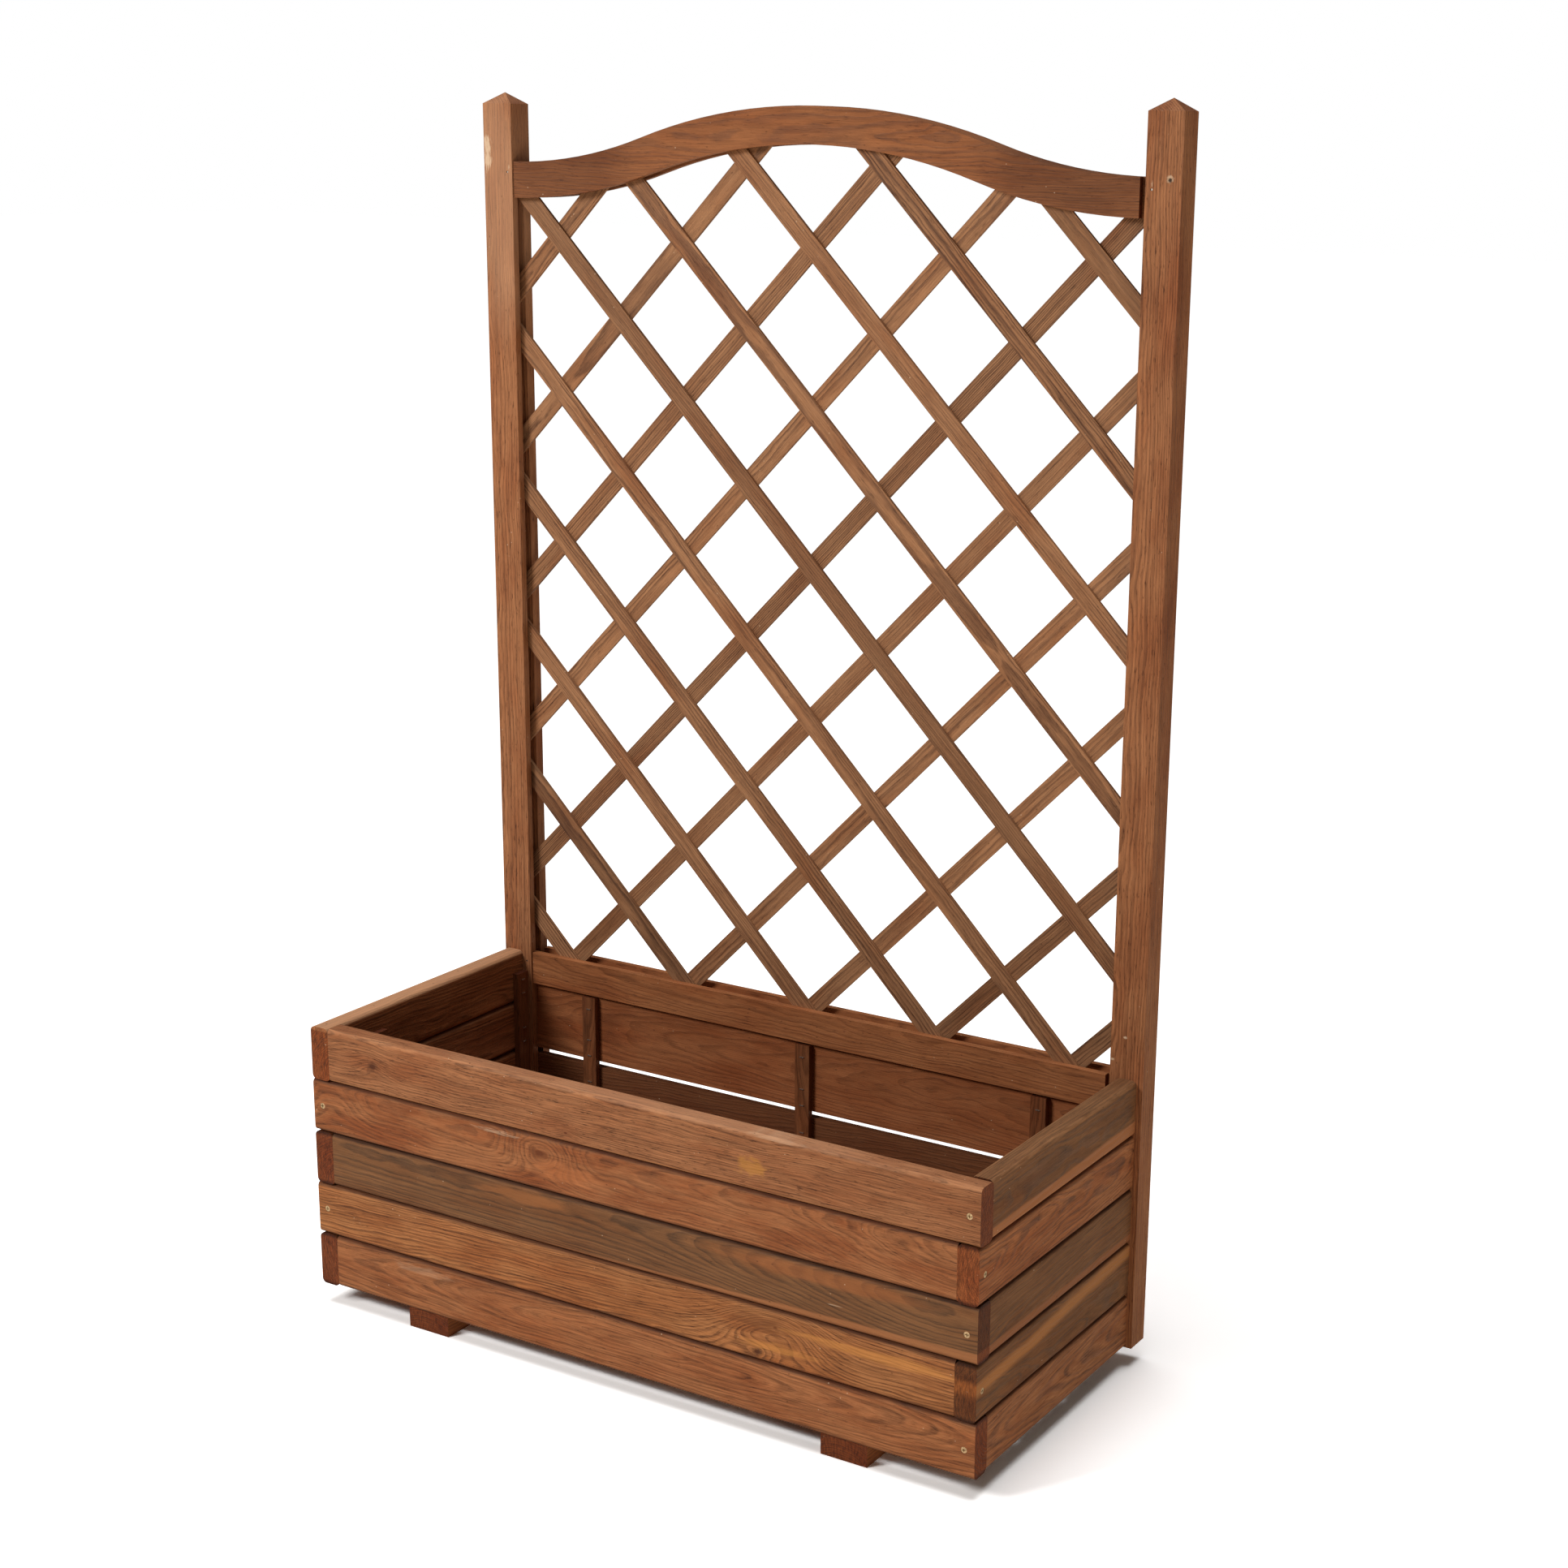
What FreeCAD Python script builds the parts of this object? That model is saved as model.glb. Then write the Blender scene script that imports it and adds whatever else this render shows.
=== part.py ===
"""Wooden planter box with a tall arched trellis behind it.

X runs along the planter's front, Y from the front to the back, Z up. The origin is on the ground,
midway between the two posts and midway between the box's front face and the rails' rear face.
All sizes are in millimetres.
"""
import FreeCAD, Part
import math
import os
import re
import Sketcher

SIZES = {
    # posts
    "frame_width": 900.0,
    "post_width": 41.0,
    "post_depth": 33.0,
    "post_eave_height": 1362.0,
    "post_point_height": 13.0,
    "post_groove_setback": 9.0,
    "post_groove_width": 11.0,
    "post_groove_depth": 12.0,
    # rails
    "rail_height": 41.0,
    "rail_depth": 33.0,
    "rail_setback": 2.0,
    "rail_groove_setback": 9.0,
    "rail_groove_width": 16.5,
    "rail_groove_depth": 10.0,
    "rail_gap_left": 0.3,
    "top_rail_gap_right": 7.0,
    "bottom_rail_gap_right": 6.0,
    "tenon_play": 0.3,
    "crown_above_eave": 1.5,
    "crown_radius": 700.0,
    "arch_rise": 66.5,
    "arch_end_flat": 4.0,
    # lattice
    "slat_width": 22.0,
    "slat_thickness": 4.0,
    "lattice_start": 5.0,
    "lattice_play": 2.0,
    # box
    "box_depth": 358.0,
    "box_inset_left": 1.0,
    "box_inset_right": 7.3,
    "board_thickness": 26.0,
    "board_height": 65.0,
    "board_edge_radius": 6.0,
    # back of the box
    "back_height": 283.0,
    "back_board_gap": 8.5,
    "back_board_play": 0.3,
    "batten_width": 20.0,
    "batten_thickness": 8.0,
    "back_batten_inset": 89.0,
    "back_batten_drop": 3.0,
    "corner_batten_drop": 26.0,
    "front_batten_setback": 47.0,
    # bottom of the box
    "skid_width": 58.0,
    "skid_height": 25.0,
    "skid_inset": 164.5,
    "skid_front_setback": 4.0,
    "skid_rear_reach": 10.0,
    "floor_thickness": 10.0,
    "floor_gap": 5.0,
    "floor_end_play": 1.0,
    # fasteners
    "fastener_play": 0.15,
    "screw_length": 60.0,
    "screw_radius": 1.75,
    "screw_head_radius": 3.5,
    "screw_head_rim": 0.3,
    "screw_point_length": 5.0,
    "screw_sink": 0.3,
    "recess_width": 0.9,
    "recess_reach": 2.0,
    "recess_depth": 1.6,
    "skid_screw_spread": 30.0,
    "pin_length": 24.0,
    "pin_radius": 0.8,
    "pin_head_radius": 1.2,
    "pin_sink": 1.0,
    "pin_inset": 7.0,
    "pin_drop": 12.0,
    "nail_radius": 0.8,
    "nail_head_radius": 1.8,
    "nail_head_thickness": 0.8,
    "floor_nail_length": 30.0,
    "floor_nail_spread": 56.0,
    "batten_staple_crown": 5.8,
    "batten_staple_wire": 1.0,
    "batten_staple_leg": 16.0,
    "batten_staple_low": 12.0,
    "batten_staple_high": 30.0,
    "back_staple_low": 8.0,
    "back_staple_middle": 29.0,
    "back_staple_high": 70.0,
    "lattice_staple_crown": 10.0,
    "lattice_staple_wire": 0.8,
    "lattice_staple_leg": 7.0,
}

TIERS = 5
BACK_BOARDS = 3
FLOOR_BOARDS = 3
# How many times the lattice repeats between the posts, and from the bottom rail to the top rail.
LATTICE_ACROSS = 4.637
LATTICE_UP = 5.21
SHORTEST_SLAT = 40.0

# Places that several pieces share, worked out from the sizes.
PLACES = {
    "post_bottom": "skid_height",
    "post_front": "(box_depth - rail_setback - rail_depth) / 2",
    "post_rear": "post_front + post_depth",
    "inner_face": "frame_width / 2 - post_width",
    "tongue_reach": "inner_face + post_groove_depth - tenon_play",
    "rail_front": "post_front + rail_setback",
    "rail_middle": "rail_front + rail_depth / 2",
    "bottom_rail_bottom": "post_bottom + back_height",
    "bottom_rail_top": "bottom_rail_bottom + rail_height",
    "crown_top": "post_bottom + post_eave_height + crown_above_eave",
    "shoulder_top": "crown_top - arch_rise",
    "arch_half_span": "inner_face - arch_end_flat",
    "arch_radii": "(arch_half_span * arch_half_span + arch_rise * arch_rise) / (2 * arch_rise)",
    "reverse_radius": "arch_radii - crown_radius",
    "arch_angle": "asin(arch_half_span / arch_radii)",
    "slat_front": "rail_front + rail_groove_setback",
    "slat_middle": "slat_front + slat_thickness",
    "lattice_bottom": "bottom_rail_top - rail_groove_depth",
    "lattice_half_width": "inner_face + post_groove_depth - lattice_play",
    "lattice_pitch_across": f"2 * inner_face / {LATTICE_ACROSS}",
    "lattice_pitch_up": f"(shoulder_top - rail_height - bottom_rail_top) / {LATTICE_UP}",
    "lattice_angle": "atan(lattice_pitch_up / lattice_pitch_across)",
    "box_front": "post_front - box_depth",
    "box_left": "box_inset_left - frame_width / 2",
    "box_right": "frame_width / 2 - box_inset_right",
    "box_middle": "(box_left + box_right) / 2",
    "box_top": f"post_bottom + {TIERS} * board_height",
    "inside_left": "box_left + board_thickness",
    "inside_right": "box_right - board_thickness",
    "inside_front": "box_front + board_thickness",
    "back_batten_spacing": "inner_face - back_batten_inset",
    "back_board_height": f"(back_height - {BACK_BOARDS - 1} * back_board_gap) / {BACK_BOARDS}",
    "back_board_front": "post_front + post_groove_setback + back_board_play",
    "back_board_thickness": "post_groove_width - 2 * back_board_play",
    "floor_top": "post_bottom + floor_thickness",
    "floor_board_width": f"(post_front - inside_front - {FLOOR_BOARDS + 1} * floor_gap) / {FLOOR_BOARDS}",
    "skid_spacing": "frame_width - 2 * skid_inset",
    "skid_front": "box_front + skid_front_setback",
    "skid_rear": "back_board_front + back_board_thickness + skid_rear_reach",
}

# Turns that point a fastener's head, which looks along +Z, out of each side of the planter.
TO_FRONT = FreeCAD.Rotation(FreeCAD.Vector(1, 0, 0), 90)
TO_REAR = FreeCAD.Rotation(FreeCAD.Vector(1, 0, 0), -90)
TO_LEFT = FreeCAD.Rotation(FreeCAD.Vector(0, 1, 0), -90)
TO_RIGHT = FreeCAD.Rotation(FreeCAD.Vector(0, 1, 0), 90)
UPWARDS = FreeCAD.Rotation(FreeCAD.Vector(1, 0, 0), 0)
DOWNWARDS = FreeCAD.Rotation(FreeCAD.Vector(1, 0, 0), 180)
QUARTER_TURN = FreeCAD.Rotation(FreeCAD.Vector(0, 0, 1), 90)

doc = FreeCAD.newDocument("planter_with_trellis")
sheet = doc.addObject("Spreadsheet::Sheet", "Sizes")
for row, (alias, size) in enumerate(SIZES.items(), start=1):
    sheet.set(f"A{row}", alias)
    sheet.set(f"B{row}", str(size))
    sheet.setAlias(f"B{row}", alias)
doc.recompute()


def formula(text):
    """Spell out a formula of sizes and places as an expression of spreadsheet cells."""
    def spelled(word):
        name = word.group()
        if name in PLACES:
            return f"({formula(PLACES[name])})"
        return f"Sizes.{name}" if name in SIZES else name
    return re.sub(r"[a-z_]+", spelled, str(text))


def value(text):
    """Work a formula out as a plain number."""
    result = sheet.evalExpression(formula(text))
    return float(getattr(result, "Value", result))


def bind(thing, **formulas):
    """Bind properties of an object to formulas."""
    for name, text in formulas.items():
        thing.setExpression(name, formula(text))


def put(thing, across, back, up):
    """Bind an object's place."""
    for axis, text in zip("xyz", (across, back, up)):
        thing.setExpression(f".Placement.Base.{axis}", formula(text))


# ---------------------------------------------------------------- sketches and solids

def draw(body, name, plane, outlines):
    """Sketch closed outlines on one of a body's own planes.

    Each outline is a list of corners (first, second, radius): the radius is that of the arc which
    leads on to the next corner, positive where the arc turns left, or None for a straight edge.
    """
    sketch = body.newObject("Sketcher::SketchObject", name)
    for feature in body.Origin.OriginFeatures:
        if feature.Role == plane:
            sketch.AttachmentSupport = [(feature, "")]
    sketch.MapMode = "FlatFace"
    for corners in outlines:
        draw_outline(sketch, corners)
    return sketch


def draw_outline(sketch, corners):
    """Add one closed outline and pin its corners and radii to their formulas."""
    points = [FreeCAD.Vector(value(first), value(second), 0) for first, second, _ in corners]
    starts = []
    ends = []
    for number, (_, _, radius) in enumerate(corners):
        start = points[number]
        end = points[(number + 1) % len(points)]
        if radius is None:
            edge = sketch.addGeometry(Part.LineSegment(start, end))
            starts.append((edge, 1))
            ends.append((edge, 2))
            continue
        turns_left = not str(radius).startswith("-")
        edge = sketch.addGeometry(arc_between(start, end, abs(value(radius)), turns_left))
        starts.append((edge, 1) if turns_left else (edge, 2))
        ends.append((edge, 2) if turns_left else (edge, 1))
        size = sketch.addConstraint(Sketcher.Constraint("Radius", edge, abs(value(radius))))
        sketch.setExpression(f"Constraints[{size}]", formula(str(radius).lstrip("-")))
    for number, (first, second, _) in enumerate(corners):
        sketch.addConstraint(Sketcher.Constraint("Coincident", *ends[number - 1], *starts[number]))
        for kind, text in (("DistanceX", first), ("DistanceY", second)):
            pin = sketch.addConstraint(Sketcher.Constraint(kind, *starts[number], value(text)))
            sketch.setExpression(f"Constraints[{pin}]", formula(text))


def arc_between(start, end, radius, turns_left):
    """The short arc of a radius from one point to another."""
    chord = end - start
    middle = (start + end) / 2
    rise = math.sqrt(max(radius ** 2 - chord.Length ** 2 / 4, 0.0))
    side = FreeCAD.Vector(-chord.y, chord.x, 0).normalize()
    centre = middle + side * (rise if turns_left else -rise)
    first, last = (start, end) if turns_left else (end, start)
    angles = [math.atan2(point.y - centre.y, point.x - centre.x) for point in (first, last)]
    circle = Part.Circle(centre, FreeCAD.Vector(0, 0, 1), radius)
    return Part.ArcOfCircle(circle, *angles)


def rectangle(first, second, wide, high):
    """Corners of a rectangle with its lowest corner at the first two formulas."""
    return [
        (first, second, None),
        (f"({first}) + ({wide})", second, None),
        (f"({first}) + ({wide})", f"({second}) + ({high})", None),
        (first, f"({second}) + ({high})", None),
    ]


def rounded_rectangle(wide, high, radius):
    """Corners of a rectangle round the origin, with its corners rounded."""
    half_wide = f"({wide}) / 2"
    half_high = f"({high}) / 2"
    return [
        (f"{radius} - {half_wide}", f"-{half_high}", None),
        (f"{half_wide} - {radius}", f"-{half_high}", radius),
        (half_wide, f"{radius} - {half_high}", None),
        (half_wide, f"{half_high} - {radius}", radius),
        (f"{half_wide} - {radius}", half_high, None),
        (f"{radius} - {half_wide}", half_high, radius),
        (f"-{half_wide}", f"{half_high} - {radius}", None),
        (f"-{half_wide}", f"{radius} - {half_high}", radius),
    ]


def pad(body, sketch, length):
    """Pad a sketch to both sides of its plane."""
    feature = body.newObject("PartDesign::Pad", f"{sketch.Name}_pad")
    feature.Profile = sketch
    feature.Midplane = True
    bind(feature, Length=length)
    sketch.Visibility = False
    return feature


def pocket(body, sketch, length):
    """Cut a sketch out to both sides of its plane."""
    feature = body.newObject("PartDesign::Pocket", f"{sketch.Name}_pocket")
    feature.Profile = sketch
    feature.Midplane = True
    bind(feature, Length=length)
    sketch.Visibility = False
    return feature


def box(name, length, width, height, corner):
    """A plain block with its lowest corner at three formulas."""
    block = doc.addObject("Part::Box", name)
    bind(block, Length=length, Width=width, Height=height)
    put(block, *corner)
    return block


def drill(name, blank, hole_shapes):
    """Cut the holes of every fastener that reaches a piece out of its blank, and name the piece."""
    reached = [
        hole for hole, shape in hole_shapes
        if shape.BoundBox.intersect(blank.Shape.BoundBox) and shape.distToShape(blank.Shape)[0] == 0
    ]
    if not reached:
        blank.Label = name
        return blank
    drilled = doc.addObject("Part::Cut", f"{name}_drilled")
    drilled.Base = blank
    drilled.Tool = doc.addObject("Part::Compound", f"{name}_holes")
    drilled.Tool.Links = reached
    drilled.Label = name
    return drilled


# ---------------------------------------------------------------- fasteners

def turned_body(name, profile):
    """A body turned about Z from a profile of (radius, height) corners."""
    body = doc.addObject("PartDesign::Body", name)
    sketch = draw(body, f"{name}_profile", "XZ_Plane", [[(*corner, None) for corner in profile]])
    turn = body.newObject("PartDesign::Revolution", f"{name}_turn")
    turn.Profile = sketch
    turn.ReferenceAxis = (sketch, ["V_Axis"])
    turn.Angle = 360
    sketch.Visibility = False
    return body


def screw_profile(play):
    """Half outline of a countersunk screw, its head's top at height 0, grown by the play."""
    head = f"screw_head_radius + {play}"
    shank = f"screw_radius + {play}"
    cone = "screw_head_rim + screw_head_radius - screw_radius"
    return [
        ("0", "0"),
        ("0", f"-(screw_length + {play})"),
        (shank, f"-(screw_length + {play} - screw_point_length)"),
        (shank, f"-({cone} + {play})"),
        (head, f"-(screw_head_rim + {play})"),
        (head, "0"),
    ]


def sunk_profile(profile, sink):
    """The same half outline as a hole, carried on past the wood's surface above the head."""
    head = profile[-1][0]
    return [("0", sink)] + profile[1:-1] + [(head, sink)]


def nail_profile(length, radius, head_radius, play):
    """Half outline of a flat-headed nail, its head's top at height 0, grown by the play."""
    head = f"{head_radius} + {play}"
    shank = f"{radius} + {play}"
    under = f"-(nail_head_thickness + {play})"
    end = f"-({length} + {play})"
    return [("0", "0"), ("0", end), (shank, end), (shank, under), (head, under), (head, "0")]


def cross_recess(body):
    """Cut the driver's cross into a screw's head."""
    half = "recess_width / 2"
    reach = "recess_reach"
    corners = [
        (half, half), (half, reach), (f"-{half}", reach), (f"-{half}", half),
        (f"-{reach}", half), (f"-{reach}", f"-{half}"), (f"-{half}", f"-{half}"), (f"-{half}", f"-{reach}"),
        (half, f"-{reach}"), (half, f"-{half}"), (reach, f"-{half}"), (reach, half),
    ]
    sketch = draw(body, f"{body.Name}_cross", "XY_Plane", [[(*corner, None) for corner in corners]])
    pocket(body, sketch, "2 * recess_depth")


def staple(name, kind, play):
    """A staple with its crown on the surface at height 0, grown by the play."""
    wire = f"{kind}_wire + 2 * {play}"
    leg_length = f"{kind}_leg + {play}"
    crown = box(
        f"{name}_crown", f"{kind}_crown + 2 * {play}", wire, f"{kind}_wire",
        (f"-({kind}_crown / 2 + {play})", f"-({wire}) / 2", "0"),
    )
    legs = [
        box(f"{name}_leg_{side}", wire, wire, leg_length, (place, f"-({wire}) / 2", f"-({leg_length})"))
        for side, place in (
            ("left", f"-({kind}_crown / 2 + {play})"),
            ("right", f"{kind}_crown / 2 - {kind}_wire - {play}"),
        )
    ]
    whole = doc.addObject("Part::MultiFuse", name)
    whole.Shapes = [crown, *legs]
    return whole


def copies(name, master, places):
    """Copies of one master at places (across, back, up, turn)."""
    links = []
    for number, (across, back, up, turn) in enumerate(places, start=1):
        link = doc.addObject("App::Link", f"{name}_{number}")
        link.LinkedObject = master
        link.Placement = FreeCAD.Placement(FreeCAD.Vector(), turn)
        put(link, across, back, up)
        links.append(link)
    return links


def sunk(surface, sign, sink):
    """A place that lies a sink's depth inside a surface, on the side that the sign gives."""
    return f"{surface} {sign} {sink}"


def tier_bottom(tier):
    """Height of a board's lower edge, tier 1 being the top one."""
    return f"(post_bottom + {TIERS - tier} * board_height)"


def tier_middle(tier):
    """Height of a board's middle."""
    return f"({tier_bottom(tier)} + board_height / 2)"


def corner_screw_places():
    """One screw in each front corner of each tier, driven into the end of the board that butts."""
    places = []
    for tier in range(1, TIERS + 1):
        up = tier_middle(tier)
        through_left = "box_left + board_thickness / 2"
        through_right = "box_right - board_thickness / 2"
        front = sunk("box_front", "+", "screw_sink")
        beside = "box_front + board_thickness / 2"
        if tier % 2:
            places.append((through_right, front, up, TO_FRONT))
            places.append((sunk("box_left", "+", "screw_sink"), beside, up, TO_LEFT))
        else:
            places.append((through_left, front, up, TO_FRONT))
            places.append((sunk("box_right", "-", "screw_sink"), beside, up, TO_RIGHT))
    return places


def frame_screw_places():
    """Screws through the posts into the side boards, and up through the skids into the box."""
    places = []
    for tier in range(1, TIERS + 1):
        for across in ("box_left + board_thickness / 2", "box_right - board_thickness / 2"):
            places.append((across, sunk("post_rear", "-", "screw_sink"), tier_middle(tier), TO_REAR))
    for side in ("-", "+"):
        middle = f"box_middle {side} skid_spacing / 2"
        for spread in ("-", "+"):
            across = f"{middle} {spread} skid_screw_spread / 2"
            places.append((across, "box_front + board_thickness / 2", "screw_sink", DOWNWARDS))
        places.append((middle, "back_board_front + back_board_thickness / 2", "screw_sink", DOWNWARDS))
    return places


def frame_pin_places():
    """One pin through each post into the tongue of each rail."""
    return [
        (f"{side} (inner_face + pin_inset)", sunk("post_front", "+", "pin_sink"), f"{top} - pin_drop", TO_FRONT)
        for side in ("-", "+")
        for top in ("bottom_rail_top", "shoulder_top")
    ]


def batten_staple_places():
    """Staples through the battens into every board that they tie together, their crowns level."""
    places = []
    for number in range(BACK_BOARDS):
        bottom = f"post_bottom + {number} * (back_board_height + back_board_gap)"
        for step in (-1, 0, 1):
            across = f"{step} * back_batten_spacing"
            for rise in ("back_staple_low", "back_staple_middle", "back_staple_high"):
                places.append((across, "back_board_front - batten_thickness", f"{bottom} + {rise}", TO_FRONT))
    for tier in range(1, TIERS + 1):
        for back in (f"{front_batten} + batten_width / 2", "post_front - batten_width / 2"):
            for rise in ("batten_staple_low", "batten_staple_high"):
                up = f"{tier_bottom(tier)} + {rise}"
                to_right = TO_RIGHT.multiply(QUARTER_TURN)
                to_left = TO_LEFT.multiply(QUARTER_TURN)
                places.append(("inside_left + batten_thickness", back, up, to_right))
                places.append(("inside_right - batten_thickness", back, up, to_left))
    return places


def floor_nail_places():
    """Two nails through each floor board into each skid."""
    places = []
    for number in range(FLOOR_BOARDS):
        for side in ("-", "+"):
            for spread in ("-", "+"):
                back = f"{floor_board_front(number)} + floor_board_width / 2 {spread} floor_nail_spread / 2"
                places.append((f"box_middle {side} skid_spacing / 2", back, "floor_top", UPWARDS))
    return places


def floor_board_front(number):
    """Front edge of a floor board, counted from the front."""
    return f"inside_front + floor_gap + {number} * (floor_board_width + floor_gap)"


def lattice_layers():
    """Numbers of the slats in a layer that are long enough to be fitted."""
    slope = value("lattice_pitch_up / lattice_pitch_across")
    edge = value("lattice_half_width")
    bottom = value("lattice_bottom")
    top = value("shoulder_top - rail_height + rail_groove_depth - lattice_play")
    numbers = []
    for number in range(-20, 40):
        height = value(f"bottom_rail_top - lattice_start + {number} * lattice_pitch_up")
        low_end = max(bottom, height - slope * edge)
        high_end = min(top, height + slope * edge)
        if (high_end - low_end) / math.sin(math.atan(slope)) >= SHORTEST_SLAT:
            numbers.append(number)
    return numbers


def staple_places(numbers):
    """One staple behind each crossing that shows inside the frame."""
    lean = FreeCAD.Rotation(FreeCAD.Vector(0, 1, 0), -value("lattice_angle"))
    turn = lean.multiply(TO_REAR)
    side = value("inner_face - slat_width")
    bottom = value("bottom_rail_top + slat_width / 2")
    places = []
    for front in numbers:
        for rear in numbers:
            across = f"{front - rear} * lattice_pitch_across / 2"
            up = f"bottom_rail_top - lattice_start + {front + rear} * lattice_pitch_up / 2"
            top = underside_height(value(across)) - value("slat_width / 2")
            if abs(value(across)) < side and bottom < value(up) < top:
                places.append((across, "slat_middle + slat_thickness", up, turn))
    return places


def underside_height(across):
    """Height of the top rail's lower edge at a distance from the middle."""
    if abs(across) < value("crown_radius * sin(arch_angle)"):
        radius = value("crown_radius - rail_height")
        return value("crown_top - crown_radius") + math.sqrt(radius ** 2 - across ** 2)
    radius = value("reverse_radius + rail_height")
    beside = min(abs(across) - value("arch_half_span"), 0.0)
    return value("shoulder_top + reverse_radius") - math.sqrt(radius ** 2 - beside ** 2)


front_batten = "(inside_front + front_batten_setback)"

# ---------------------------------------------------------------- wooden pieces

def arch_line(below, reach):
    """Corners of a line that runs from left to right at a distance below the top rail's top edge."""
    crown = f"(crown_radius - ({below}))"
    reverse = f"(reverse_radius + ({below}))"
    turn_across = f"{crown} * sin(arch_angle)"
    turn_up = f"crown_top - crown_radius + {crown} * cos(arch_angle)"
    level = f"shoulder_top - ({below})"
    return [
        (f"-({reach})", level, None),
        ("-(arch_half_span)", level, reverse),
        (f"-({turn_across})", turn_up, f"-{crown}"),
        (turn_across, turn_up, reverse),
        ("arch_half_span", level, None),
        (reach, level, None),
    ]


def backwards(corners):
    """The same corners from the last to the first, with each arc kept on its own edge."""
    turned = []
    for number in range(len(corners) - 1, -1, -1):
        first, second, _ = corners[number]
        radius = corners[number - 1][2] if number else None
        if radius is not None:
            radius = radius[1:] if radius.startswith("-") else f"-{radius}"
        turned.append((first, second, radius))
    return turned


def make_rail(name, outline, groove, gap_right):
    """A rail with a groove along it and, at each end, a tongue that fits a post's groove."""
    body = doc.addObject("PartDesign::Body", f"{name}_blank")
    pad(body, draw(body, f"{name}_outline", "XZ_Plane", [outline]), "rail_depth")
    channel = draw(body, f"{name}_groove", "XZ_Plane", [groove])
    channel.setExpression(
        ".AttachmentOffset.Base.z", formula("rail_depth / 2 - rail_groove_setback - rail_groove_width / 2")
    )
    pocket(body, channel, "rail_groove_width")
    front_cheek = "post_front + post_groove_setback + tenon_play - rail_middle"
    rear_cheek = "post_front + post_groove_setback + post_groove_width - tenon_play - rail_middle"
    cheeks = []
    for start, gap in (("-tongue_reach - 1", "rail_gap_left"), (f"inner_face - {gap_right}", gap_right)):
        length = f"tongue_reach + 1 - inner_face + {gap}"
        cheeks.append(rectangle(start, "-rail_depth", length, f"rail_depth + {front_cheek}"))
        cheeks.append(rectangle(start, rear_cheek, length, "rail_depth"))
    pocket(body, draw(body, f"{name}_cheeks", "XY_Plane", cheeks), "4 * crown_top")
    put(body, "0", "rail_middle", "0")
    return body


def make_rails():
    """The straight bottom rail and the arched top rail."""
    straight = rectangle("-tongue_reach", "bottom_rail_bottom", "2 * tongue_reach", "rail_height")
    channel = rectangle("-tongue_reach - 1", "lattice_bottom", "2 * (tongue_reach + 1)", "2 * rail_groove_depth")
    blanks["bottom_rail"] = make_rail("bottom_rail", straight, channel, "bottom_rail_gap_right")
    arched = backwards(arch_line("0", "tongue_reach")) + arch_line("rail_height", "tongue_reach")
    past_end = "tongue_reach + 1"
    under_groove = "rail_height - rail_groove_depth"
    channel = backwards(arch_line(under_groove, past_end)) + arch_line("2 * rail_height", past_end)
    blanks["top_rail"] = make_rail("top_rail", arched, channel, "top_rail_gap_right")


def make_post(name, outer, groove_start):
    """A post with a low pyramid on top and a groove in its inner face up to the top rail's edge."""
    shaft = box(
        f"{name}_shaft", "post_width", "post_depth", "post_eave_height", (outer, "post_front", "post_bottom")
    )
    point = doc.addObject("Part::Wedge", f"{name}_point")
    bind(
        point, Xmin="0", Xmax="post_width", X2min="post_width / 2", X2max="post_width / 2",
        Zmin="0", Zmax="post_depth", Z2min="post_depth / 2", Z2max="post_depth / 2",
        Ymin="0", Ymax="post_point_height",
    )
    point.Placement.Rotation = FreeCAD.Rotation(FreeCAD.Vector(1, 0, 0), 90)
    put(point, outer, "post_rear", "post_bottom + post_eave_height")
    whole = doc.addObject("Part::MultiFuse", f"{name}_whole")
    whole.Shapes = [shaft, point]
    blank = doc.addObject("Part::Cut", f"{name}_blank")
    blank.Base = whole
    blank.Tool = box(
        f"{name}_groove", "post_groove_depth", "post_groove_width", "shoulder_top - post_bottom",
        (groove_start, "post_front + post_groove_setback", "post_bottom"),
    )
    blanks[name] = blank


def make_slats(numbers):
    """Two layers of crossing slats, cut to the shape of the opening and its grooves."""
    panel = doc.addObject("PartDesign::Body", "lattice_panel")
    edge = "rail_height - rail_groove_depth + lattice_play"
    outline = backwards(arch_line(edge, "lattice_half_width"))
    outline += [("-lattice_half_width", "lattice_bottom", None), ("lattice_half_width", "lattice_bottom", None)]
    pad(panel, draw(panel, "lattice_panel_outline", "XZ_Plane", [outline]), "4 * slat_thickness")
    put(panel, "0", "slat_middle", "0")
    strip_length = "2 * (lattice_half_width + crown_top)"
    for layer, lean in (("front", 1), ("rear", -1)):
        for place, number in enumerate(numbers, start=1):
            name = f"slat_{layer}_{place:02d}"
            strip = doc.addObject("Part::Box", f"{name}_strip")
            bind(strip, Length=strip_length, Width="slat_thickness", Height="slat_width")
            strip.Placement.Rotation = FreeCAD.Rotation(FreeCAD.Vector(0, 1, 0), 1)
            strip.setExpression(".Placement.Rotation.Angle", formula(f"{lean} * lattice_angle"))
            half_length = f"({strip_length}) / 2"
            height = f"bottom_rail_top - lattice_start + {number} * lattice_pitch_up"
            start = f"-{half_length} * cos(lattice_angle) - {lean} * slat_width / 2 * sin(lattice_angle)"
            put(
                strip, start, "slat_front" if layer == "front" else "slat_middle",
                f"{height} + {lean} * {half_length} * sin(lattice_angle) - slat_width / 2 * cos(lattice_angle)",
            )
            blanks[name] = doc.addObject("Part::Common", f"{name}_blank")
            blanks[name].Base = panel
            blanks[name].Tool = strip


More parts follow.
